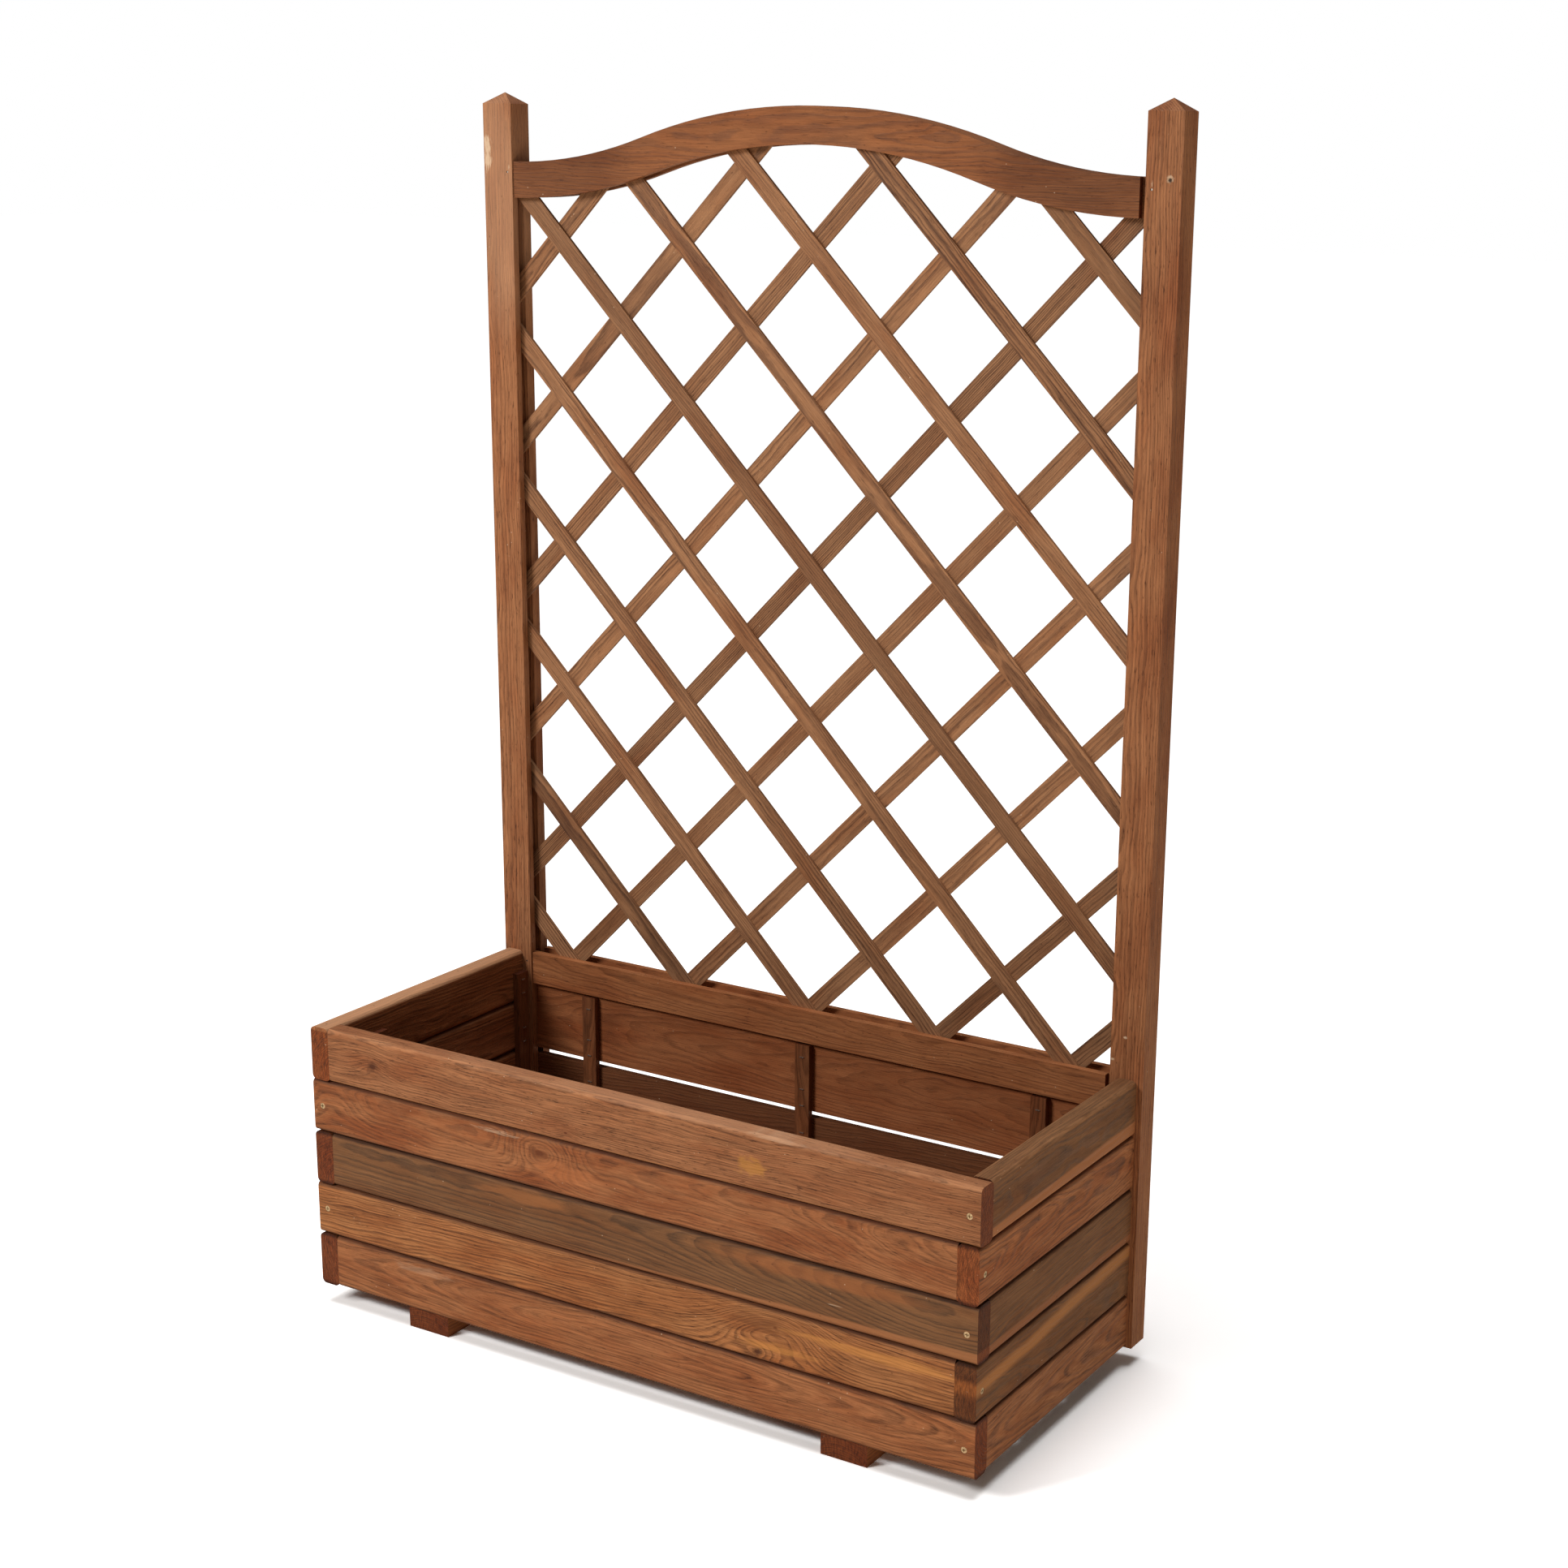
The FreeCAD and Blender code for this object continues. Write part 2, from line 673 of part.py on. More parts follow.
def make_board(name, plane, length, middle):
    """A board with rounded long edges, centred on its middle."""
    body = doc.addObject("PartDesign::Body", f"{name}_blank")
    outline = rounded_rectangle("board_thickness", "board_height", "board_edge_radius")
    pad(body, draw(body, f"{name}_section", plane, [outline]), length)
    put(body, *middle)
    blanks[name] = body


def make_box_boards():
    """Front and side boards, whose corners lap the other way in each tier."""
    for tier in range(1, TIERS + 1):
        up = tier_middle(tier)
        laps_right = tier % 2 == 1
        left = "inside_left" if laps_right else "box_left"
        right = "box_right" if laps_right else "inside_right"
        middle = (f"({left} + {right}) / 2", "box_front + board_thickness / 2", up)
        make_board(f"board_front_{tier}", "YZ_Plane", f"{right} - ({left})", middle)
        for side, runs_through in (("left", laps_right), ("right", not laps_right)):
            start = "box_front" if runs_through else "inside_front"
            across = f"box_{side} {'+' if side == 'left' else '-'} board_thickness / 2"
            middle = (across, f"({start} + post_front) / 2", up)
            make_board(f"board_{side}_{tier}", "XZ_Plane", f"post_front - ({start})", middle)


def make_back():
    """Three thin boards held in the posts' grooves, and the battens that tie them together."""
    for number in range(BACK_BOARDS):
        name = f"back_board_{BACK_BOARDS - number}"
        up = f"post_bottom + {number} * (back_board_height + back_board_gap)"
        blanks[name] = box(
            f"{name}_blank", "2 * tongue_reach", "back_board_thickness", "back_board_height",
            ("-tongue_reach", "back_board_front", up),
        )
    for side, step in (("left", -1), ("middle", 0), ("right", 1)):
        name = f"back_batten_{side}"
        blanks[name] = box(
            f"{name}_blank", "batten_width", "batten_thickness", "back_height - back_batten_drop",
            (f"{step} * back_batten_spacing - batten_width / 2", "back_board_front - batten_thickness", "post_bottom"),
        )


def make_corner_battens():
    """Upright battens on the side boards' inner faces, standing on the floor."""
    height = "box_top - corner_batten_drop - floor_top"
    for side, across in (("left", "inside_left"), ("right", "inside_right - batten_thickness")):
        for end, back in (("front", front_batten), ("rear", "post_front - batten_width")):
            name = f"corner_batten_{side}_{end}"
            corner = (across, back, "floor_top")
            blanks[name] = box(f"{name}_blank", "batten_thickness", "batten_width", height, corner)


def make_bottom():
    """Two skids under the box and the floor boards that lie on them."""
    for side, sign in (("left", "-"), ("right", "+")):
        blanks[f"skid_{side}"] = box(
            f"skid_{side}_blank", "skid_width", "skid_rear - (skid_front)", "skid_height",
            (f"box_middle {sign} skid_spacing / 2 - skid_width / 2", "skid_front", "0"),
        )
    for number in range(FLOOR_BOARDS):
        name = f"floor_board_{number + 1}"
        blanks[name] = box(
            f"{name}_blank", "inside_right - (inside_left) - 2 * floor_end_play", "floor_board_width",
            "floor_thickness", ("inside_left + floor_end_play", floor_board_front(number), "post_bottom"),
        )


# ---------------------------------------------------------------- assembly

screw = turned_body("screw", screw_profile("0"))
cross_recess(screw)
screw_hole = turned_body("screw_hole", sunk_profile(screw_profile("fastener_play"), "screw_sink"))
pin_sizes = ("pin_length", "pin_radius", "pin_head_radius")
pin = turned_body("pin", nail_profile(*pin_sizes, "0"))
pin_hole = turned_body("pin_hole", sunk_profile(nail_profile(*pin_sizes, "fastener_play"), "pin_sink"))
floor_nail_sizes = ("floor_nail_length", "nail_radius", "nail_head_radius")
floor_nail = turned_body("floor_nail", nail_profile(*floor_nail_sizes, "0"))
floor_nail_hole = turned_body("floor_nail_hole", nail_profile(*floor_nail_sizes, "fastener_play"))
batten_staple = staple("batten_staple", "batten_staple", "0")
batten_staple_hole = staple("batten_staple_hole", "batten_staple", "fastener_play")
lattice_staple = staple("lattice_staple", "lattice_staple", "0")
lattice_staple_hole = staple("lattice_staple_hole", "lattice_staple", "fastener_play")

slat_numbers = lattice_layers()
groups = []
holes = []
for group_name, master, hole, group_places in (
    ("corner_screws", screw, screw_hole, corner_screw_places()),
    ("frame_screws", screw, screw_hole, frame_screw_places()),
    ("frame_pins", pin, pin_hole, frame_pin_places()),
    ("batten_staples", batten_staple, batten_staple_hole, batten_staple_places()),
    ("floor_nails", floor_nail, floor_nail_hole, floor_nail_places()),
    ("lattice_staples", lattice_staple, lattice_staple_hole, staple_places(slat_numbers)),
):
    groups.append(doc.addObject("Part::Compound", group_name))
    groups[-1].Links = copies(group_name, master, group_places)
    holes += copies(f"{group_name}_hole", hole, group_places)

blanks = {}
make_post("post_left", "-frame_width / 2", "-(inner_face + post_groove_depth)")
make_post("post_right", "inner_face", "inner_face")
make_rails()
make_slats(slat_numbers)
make_box_boards()
make_back()
make_corner_battens()
make_bottom()
doc.recompute()
hole_shapes = [(hole, Part.getShape(hole)) for hole in holes]
pieces = [drill(name, blank, hole_shapes) for name, blank in blanks.items()] + groups
doc.recompute()

for thing in doc.Objects:
    if "Invalid" in thing.State or "Error" in thing.State:
        raise RuntimeError(f"{thing.Label} failed: {thing.State}")
for piece in pieces:
    if piece.Shape.isNull() or not piece.Shape.isValid():
        raise RuntimeError(f"{piece.Label} has no valid shape")

os.makedirs("parts", exist_ok=True)
for piece in pieces:
    piece.Shape.exportStep(f"parts/{piece.Label}.step")
print(len(pieces), "pieces,", sum(len(piece.Shape.Solids) for piece in pieces), "solids")
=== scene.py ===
"""Looks of a planter box with an arched trellis: stained softwood, screws and staples."""
import math
import random
import bpy
from mathutils import Matrix, Vector


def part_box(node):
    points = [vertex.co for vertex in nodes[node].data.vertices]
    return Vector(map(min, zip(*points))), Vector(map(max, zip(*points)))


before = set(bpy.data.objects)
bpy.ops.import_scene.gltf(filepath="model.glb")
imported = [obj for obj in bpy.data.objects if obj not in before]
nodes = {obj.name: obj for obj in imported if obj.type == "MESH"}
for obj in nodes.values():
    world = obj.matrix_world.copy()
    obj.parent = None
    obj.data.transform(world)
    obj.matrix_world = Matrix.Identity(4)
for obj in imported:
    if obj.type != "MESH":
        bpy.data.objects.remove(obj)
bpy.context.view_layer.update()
MM = 0.001


# ---------------------------------------------------------------- shader building

class Graph:
    """Short calls for building a node tree."""

    def __init__(self, tree):
        self.tree = tree

    def add(self, kind, inputs=None, **settings):
        """Add a node, set its properties and fill its inputs with values or sockets."""
        node = self.tree.nodes.new(kind)
        for name, setting in settings.items():
            setattr(node, name, setting)
        for name, source in (inputs or {}).items():
            self.plug(source, node.inputs[name])
        return node

    def plug(self, source, socket):
        """Link a socket, or set a plain value."""
        if isinstance(source, bpy.types.NodeSocket):
            self.tree.links.new(source, socket)
        else:
            socket.default_value = source

    def math(self, operation, first, second=0.0):
        """One arithmetic step."""
        return self.add("ShaderNodeMath", {0: first, 1: second}, operation=operation).outputs[0]

    def total(self, *terms):
        """The sum of several values."""
        result = terms[0]
        for term in terms[1:]:
            result = self.math("ADD", result, term)
        return result

    def times(self, *factors):
        """The product of several values."""
        result = factors[0]
        for factor in factors[1:]:
            result = self.math("MULTIPLY", result, factor)
        return result

    def smooth(self, source, low, high):
        """A smooth rise from 0 to 1 between two values; a low above the high gives a fall."""
        node = self.add(
            "ShaderNodeMapRange", {"Value": source, "From Min": low, "From Max": high},
            interpolation_type="SMOOTHSTEP",
        )
        return node.outputs[0]

    def vector(self, first, second, third):
        """Three values joined into a vector."""
        return self.add("ShaderNodeCombineXYZ", {0: first, 1: second, 2: third}).outputs[0]

    def stretch(self, vector, along, deep, across, shift=0.0):
        """The vector scaled by three factors and shifted, so that noises don't repeat."""
        return self.add(
            "ShaderNodeMapping",
            {"Vector": vector, "Location": (shift, shift * 0.7, shift * 1.3), "Scale": (along, deep, across)},
        ).outputs[0]

    def noise(self, vector, detail=2.0, roughness=0.5):
        """Noise round 0.5, with one wave per unit of the vector."""
        node = self.add(
            "ShaderNodeTexNoise", {"Vector": vector, "Scale": 1.0, "Detail": detail, "Roughness": roughness}
        )
        return node.outputs["Fac"]

    def cells(self, vector):
        """How far each place is from the nearest of scattered points, about one point per unit cube."""
        return self.add("ShaderNodeTexVoronoi", {"Vector": vector, "Scale": 1.0}).outputs["Distance"]

    def parts(self, vector):
        """The three values of a vector."""
        return self.add("ShaderNodeSeparateXYZ", {0: vector}).outputs

    def sway(self, vector, amount, detail=2.0):
        """Noise round 0, times an amount."""
        return self.times(self.math("SUBTRACT", self.noise(vector, detail), 0.5), amount)

    def mix(self, factor, first, second, blend="MIX", clamp=True):
        """A colour mix. Sockets 6 and 7 and result 2 are the node's own for colours."""
        node = self.add("ShaderNodeMix", data_type="RGBA", blend_type=blend, clamp_factor=clamp)
        self.plug(factor, node.inputs[0])
        self.plug(first, node.inputs[6])
        self.plug(second, node.inputs[7])
        return node.outputs[2]


def linear(level):
    """A level as it looks on screen, 0 to 255, turned into an amount of light."""
    level /= 255
    return level / 12.92 if level <= 0.04045 else ((level + 0.055) / 1.055) ** 2.4


def screen(red, green, blue):
    """A colour given as it looks on screen."""
    return (linear(red), linear(green), linear(blue), 1.0)


# Colours as they look on screen.
PALE = (226, 200, 170)
DARK_SPOT = (60, 34, 20)
YELLOW = (200, 140, 62)
# Rubbed wood, also used as a painted highlight on rounded edges.
WORN_AND_HIGHLIT = (204, 150, 106)
# Painted shade for the grooves between stacked boards.
GROOVE_SHADE = (110, 74, 50)
KNOT_HEART = (88, 40, 20)
GLOW = (150, 126, 108)
END_GRAIN = (216, 178, 156)

FLOAT = "NodeSocketFloat"
COLOUR = "NodeSocketColor"
VECTOR = "NodeSocketVector"


def new_material(name):
    """A new empty material and its graph."""
    material = bpy.data.materials.new(name)
    material.use_nodes = True
    material.node_tree.nodes.clear()
    return material, Graph(material.node_tree)


def new_group(name, inputs, outputs):
    """A new node group with its sockets: the tree, its graph, its inputs and its output node."""
    tree = bpy.data.node_groups.new(name, "ShaderNodeTree")
    for socket, kind in inputs:
        tree.interface.new_socket(socket, in_out="INPUT", socket_type=kind)
    for socket, kind in outputs:
        tree.interface.new_socket(socket, in_out="OUTPUT", socket_type=kind)
    g = Graph(tree)
    return tree, g, g.add("NodeGroupInput").outputs, g.add("NodeGroupOutput").inputs


def make_knot_group():
    """A knot: how far it pushes the rings aside round it, and its own dark heart."""
    tree, g, given, result = new_group(
        "knot",
        [("Place", VECTOR), ("Centre", VECTOR), ("Heart Radius", FLOAT), ("Bulge", FLOAT), ("Reach", FLOAT)],
        [("Push", FLOAT), ("Heart", FLOAT)],
    )
    offset = g.add("ShaderNodeVectorMath", {0: given["Place"], 1: given["Centre"]}, operation="SUBTRACT")
    split = g.parts(offset.outputs[0])
    ragged = g.sway(g.stretch(given["Place"], 0.12, 0.06, 0.16, 31.0), 0.7, 3.0)
    along = g.times(split[0], 0.6)
    distance = g.math("SQRT", g.total(g.times(along, along), g.times(split[2], split[2])))
    ratio = g.math("DIVIDE", distance, given["Reach"])
    fade = g.math("EXPONENT", g.times(ratio, ratio, -1.0))
    g.plug(g.times(fade, given["Bulge"]), result["Push"])
    inside = g.total(g.math("DIVIDE", distance, given["Heart Radius"]), ragged)
    g.plug(g.smooth(inside, 1.15, 0.45), result["Heart"])
    return tree


def make_wood_group():
    """Softwood cut from a log: rings round a pith, fibres along them, dark flecks and blotchy stain.

    The place is in millimetres in the board's own frame: along the grain, through the thickness and
    across the width. The pith lies at a place through and across, and drifts along the board.
    """
    tree, g, given, result = new_group(
        "stained_wood",
        [("Place", VECTOR), ("Seed", FLOAT), ("Pith Deep", FLOAT), ("Pith Across", FLOAT),
         ("Drift Deep", FLOAT), ("Drift Across", FLOAT), ("Ring Width", FLOAT), ("Wander", FLOAT),
         ("Push", FLOAT), ("Heart", FLOAT), ("Contrast", FLOAT), ("Fibre", FLOAT), ("Blotch", FLOAT),
         ("Flecks", FLOAT), ("Light", COLOUR), ("Dark", COLOUR), ("Stain", COLOUR), ("Glow", COLOUR)],
        [("Colour", COLOUR), ("Height", FLOAT), ("Late", FLOAT)],
    )
    along, deep, across = g.parts(given["Place"])
    shift = g.vector(given["Seed"], given["Seed"], given["Seed"])
    place = g.add("ShaderNodeVectorMath", {0: given["Place"], 1: shift}, operation="ADD").outputs[0]

    wander = g.math("SUBTRACT", g.noise(g.stretch(place, 0.007, 0.014, 0.022), 2.0), 0.5)
    ripple = g.sway(g.stretch(place, 0.035, 0.05, 0.09, 7.0), 1.6, 3.0)
    pith_deep = g.total(given["Pith Deep"], g.times(along, given["Drift Deep"]))
    pith_across = g.total(given["Pith Across"], g.times(along, given["Drift Across"]))
    far_deep = g.math("SUBTRACT", deep, pith_deep)
    far_across = g.math("SUBTRACT", across, pith_across)
    radius = g.math("SQRT", g.total(g.times(far_deep, far_deep), g.times(far_across, far_across)))
    radius = g.total(radius, g.times(wander, given["Wander"]), ripple, given["Push"])
    turns = g.math("DIVIDE", radius, given["Ring Width"])
    uneven = g.add(
        "ShaderNodeTexNoise", {"W": g.total(turns, given["Seed"]), "Scale": 0.45}, noise_dimensions="1D"
    )
    turns = g.total(turns, g.times(uneven.outputs["Fac"], 1.5))
    part = g.math("FRACT", turns)
    late = g.times(g.smooth(part, 0.3, 0.86), g.smooth(part, 1.0, 0.9))

    # Fibres run along the rings, so they bend round knots.
    bent = g.vector(g.times(along, 0.011), g.times(radius, 0.62), g.times(across, 0.11))
    streaks = g.noise(g.stretch(bent, 1.0, 1.0, 1.0, 3.0), 5.0, 0.62)
    fibres = g.noise(g.stretch(place, 0.022, 0.75, 0.75, 23.0), 4.0, 0.66)
    threads = g.noise(g.stretch(place, 0.06, 2.4, 2.4, 11.0), 2.0, 0.6)
    flecks = g.noise(g.stretch(place, 0.085, 0.8, 0.8, 19.0), 2.0, 0.55)
    flecks = g.times(g.smooth(flecks, 0.6, 0.7), given["Flecks"])
    patches = g.noise(g.stretch(place, 0.010, 0.02, 0.032, 43.0), 4.0, 0.62)
    warm = g.noise(g.stretch(place, 0.006, 0.02, 0.022, 67.0), 3.0, 0.6)

    grain = g.total(
        g.times(g.math("SUBTRACT", streaks, 0.5), 2.0), g.times(g.math("SUBTRACT", fibres, 0.5), 1.9),
        g.times(g.math("SUBTRACT", threads, 0.5), 1.0),
    )
    tone = g.total(
        g.times(late, given["Contrast"]), g.times(grain, given["Fibre"]), 0.1, g.times(flecks, 0.8)
    )
    tone = g.math("MINIMUM", g.math("MAXIMUM", tone, -0.25), 1.25)
    colour = g.mix(tone, given["Light"], given["Dark"], clamp=False)
    glowing = g.times(g.smooth(warm, 0.45, 0.72), 0.5)
    stained = g.times(g.smooth(patches, 0.4, 0.66), given["Blotch"])
    colour = g.mix(glowing, colour, given["Glow"], "SOFT_LIGHT")
    colour = g.mix(stained, colour, given["Stain"], "MULTIPLY")
    colour = g.mix(g.times(given["Heart"], 0.8), colour, screen(*KNOT_HEART))
    g.plug(colour, result["Colour"])

    height = g.total(
        g.times(late, 0.4), g.times(streaks, 0.8), fibres, g.times(threads, 0.6), g.times(flecks, -0.5)
    )
    g.plug(height, result["Height"])
    g.plug(late, result["Late"])
    return tree


KNOT = make_knot_group()
WOOD = make_wood_group()


# ---------------------------------------------------------------- marks on the wood

# How deep a patch goes, in mm: right through any board.
THROUGH = 1e6


def stripe(low, high, colour, amount, soft=2.5, wander=5.0, tilt=0.0):
    """A band along the board between two places across it, with a wavy edge."""
    def paint(g, place, tone):
        along, _, across = g.parts(place)
        bend = g.sway(g.stretch(place, 0.008, 0.0, 0.03, low), wander)
        level = g.total(across, bend, g.times(along, -tilt))
        inside = g.times(g.smooth(level, low - soft, low + soft), g.smooth(level, high + soft, high - soft))
        return g.mix(g.times(inside, amount), tone, screen(*colour))
    return paint


def patch(along, across, length, width, colour, amount, ragged=1.0, blend="MIX"):
    """A soft spot with a ragged edge."""
    def paint(g, place, tone):
        shape = g.add(
            "ShaderNodeMapping",
            {"Vector": place, "Location": (along, 0.0, across), "Scale": (length, THROUGH, width)},
            vector_type="TEXTURE",
        ).outputs[0]
        distance = g.add("ShaderNodeVectorMath", {0: shape}, operation="LENGTH").outputs["Value"]
        edge = g.sway(g.stretch(place, 2.2 / length, 0.0, 2.2 / width, along), ragged, 4.0)
        inside = g.smooth(g.total(distance, edge), 1.0, 0.35)
        return g.mix(g.times(inside, amount), tone, screen(*colour), blend)
    return paint


# ---------------------------------------------------------------- wooden materials

# Stain tones: the light early wood, the dark late wood, and the shade of its blotches.
TONES = {
    "brown": ((162, 109, 73), (98, 61, 38), (214, 190, 174)),
    "orange": ((163, 107, 69), (98, 60, 36), (216, 188, 170)),
    "bright": ((172, 116, 72), (106, 66, 38), (214, 188, 166)),
    "grey": ((128, 89, 58), (84, 59, 40), (218, 206, 198)),
    "post": ((164, 110, 73), (98, 60, 37), (216, 190, 174)),
    "rail": ((154, 98, 60), (94, 55, 32), (216, 192, 172)),
    "slat": ((150, 108, 76), (94, 63, 43), (214, 192, 174)),
    "inner": ((140, 86, 52), (94, 55, 33), (216, 190, 166)),
}

# How a board lies: the turn of its own frame, in which x runs along the grain, y through the
# thickness and z across the width.
ACROSS = (0.0, 0.0, 0.0)
BACKWARDS = (0.0, 0.0, math.radians(90))
UPRIGHT = (0.0, math.radians(-90), 0.0)
FLAT = (math.radians(90), 0.0, 0.0)
# Where a front board's outer face lies, in mm from the middle of its thickness.
FRONT_FACE = -13.0
# How strongly painted shade darkens the rounded edges of boards that lie under another.
GROOVE_SHADE_STRENGTH = 0.85


def paint_ends(g, place, face_along, colour, end, seed):
    """End grain soaks up more stain and shows saw marks."""
    saw = g.smooth(g.noise(g.stretch(place, 0.0, 0.5, 0.12, seed), 3.0, 0.6), 0.35, 0.7)
    sawn = g.mix(saw, screen(*end), screen(*(level * 0.72 for level in end)))
    on_end = g.smooth(g.math("ABSOLUTE", face_along), 0.75, 0.95)
    return g.mix(on_end, colour, sawn, "MULTIPLY")


def paint_worn_and_highlit_edges(g, place, face_deep, face_across, colour, worn, seed):
    """Rounded long edges are lighter here and there: partly rubbed wear, partly a painted highlight on the
    arris.
    """
    corner = g.math("ABSOLUTE", g.times(face_deep, face_across))
    rub = g.noise(g.stretch(place, 0.04, 0.3, 0.3, seed), 3.0)
    amount = g.times(g.smooth(corner, 0.1, 0.45), g.smooth(rub, 0.3, 0.65), worn)
    return g.mix(amount, colour, screen(*WORN_AND_HIGHLIT))


def paint_groove_shade(g, place, colour, groove_shade):
    """Painted shade: the rounded edges darken where one board lies on the next."""
    across = g.parts(place)[2]
    depth = g.smooth(g.math("ABSOLUTE", across), 26.5, 32.0)
    return g.mix(g.times(depth, groove_shade), colour, screen(*GROOVE_SHADE), "MULTIPLY")


def paint_chips_and_pits(g, place, colour, seed):
    """Tiny pale chips in some stretches, and dark pits all over."""
    chips = g.smooth(g.cells(g.stretch(place, 0.07, 0.05, 0.09, seed)), 0.075, 0.03)
    there = g.smooth(g.noise(g.stretch(place, 0.01, 0.01, 0.03, seed + 5), 2.0), 0.5, 0.62)
    colour = g.mix(g.times(chips, there, 0.5), colour, screen(*PALE))
    pits = g.smooth(g.cells(g.stretch(place, 0.05, 0.06, 0.09, seed + 9)), 0.09, 0.03)
    return g.mix(g.times(pits, 0.55), colour, screen(*DARK_SPOT))


def add_knots(g, place, knots):
    """How far all knots push the rings aside, and their dark hearts."""
    push = 0.0
    heart = 0.0
    for centre, heart_radius, bulge, reach in knots:
        knot = g.add("ShaderNodeGroup", node_tree=KNOT)
        g.plug(place, knot.inputs["Place"])
        knot.inputs["Centre"].default_value = (centre[0], 0.0, centre[1])
        knot.inputs["Heart Radius"].default_value = heart_radius
        knot.inputs["Bulge"].default_value = bulge
        knot.inputs["Reach"].default_value = reach
        push = g.math("ADD", knot.outputs["Push"], push)
        heart = g.math("MAXIMUM", knot.outputs["Heart"], heart)
    return push, heart


def wood(name, turn, tone, seed, pith=(-60.0, 10.0), drift=(0.02, 0.0), rings=2.4, wander=12.0,
         contrast=0.45, fibre=1.0, blotch=0.5, flecks=0.5, knots=(), marks=(), level=1.0,
         end=END_GRAIN, worn=0.2, groove_shade=0.0):
    """Dress one wooden node in a material that is cut from its own place in a log."""
    low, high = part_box(name)
    middle = [(low[axis] + high[axis]) / 2 for axis in range(3)]
    material, g = new_material(f"{name}_wood")
    object_space = g.add("ShaderNodeTexCoord").outputs
    place = g.add(
        "ShaderNodeMapping",
        {"Vector": object_space["Object"], "Location": middle, "Rotation": turn, "Scale": (MM, MM, MM)},
        vector_type="TEXTURE",
    ).outputs[0]
    facing = g.add(
        "ShaderNodeMapping", {"Vector": object_space["Normal"], "Rotation": turn}, vector_type="TEXTURE"
    ).outputs[0]
    face_along, face_deep, face_across = g.parts(facing)

    push, heart = add_knots(g, place, knots)
    light, dark, stain = (screen(*colour) for colour in TONES[tone])
    grain = g.add("ShaderNodeGroup", node_tree=WOOD)
    settings = {
        "Seed": seed, "Pith Deep": pith[0], "Pith Across": pith[1], "Drift Deep": drift[0],
        "Drift Across": drift[1], "Ring Width": rings, "Wander": wander, "Contrast": contrast,
        "Fibre": fibre, "Blotch": blotch, "Flecks": flecks, "Stain": stain, "Glow": screen(*GLOW),
        "Light": [amount * level for amount in light[:3]] + [1.0],
        "Dark": [amount * level for amount in dark[:3]] + [1.0],
    }
    for socket, setting in settings.items():
        grain.inputs[socket].default_value = setting
    g.plug(place, grain.inputs["Place"])
    g.plug(push, grain.inputs["Push"])
    g.plug(heart, grain.inputs["Heart"])
    colour = grain.outputs["Colour"]
    for mark in marks:
        colour = mark(g, place, colour)
    colour = paint_ends(g, place, face_along, colour, end, seed)
    # Lighter rounded edges: wear and a painted highlight.
    colour = paint_worn_and_highlit_edges(g, place, face_deep, face_across, colour, worn, seed)
    # Painted shade along the rounded edges where boards lie on each other.
    if groove_shade:
        colour = paint_groove_shade(g, place, colour, groove_shade)
    colour = paint_chips_and_pits(g, place, colour, seed)

    bump = g.add("ShaderNodeBump", {"Height": grain.outputs["Height"], "Strength": 0.5, "Distance": 0.0007})
    rough = g.add("ShaderNodeMapRange", {"Value": grain.outputs["Late"], "To Min": 0.72, "To Max": 0.56})
    shader = g.add(
        "ShaderNodeBsdfPrincipled",
        {"Base Color": colour, "Roughness": rough.outputs[0], "Normal": bump.outputs[0]},
    )
    shader.inputs["Specular IOR Level"].default_value = 0.2
    g.plug(shader.outputs[0], g.add("ShaderNodeOutputMaterial").inputs["Surface"])
    dress(nodes[name], material)


def dress(thing, material):
    """Give every slot of an object one material."""
    if not thing.material_slots:
        thing.data.materials.append(material)
    for slot in thing.material_slots:
        slot.link = "OBJECT"
        slot.material = material


def soften(thing, width):
    """Round an object's sharp edges a little."""
    bevel = thing.modifiers.new("eased_edges", "BEVEL")
    bevel.width = width
    bevel.segments = 2
    bevel.limit_method = "ANGLE"
    bevel.angle_limit = math.radians(40)


def eye(along, across, drift):
    """A pith that meets the board's front face at a place and sinks away from it along the board."""
    return {"pith": (FRONT_FACE - along * drift, across), "drift": (drift, 0.0)}


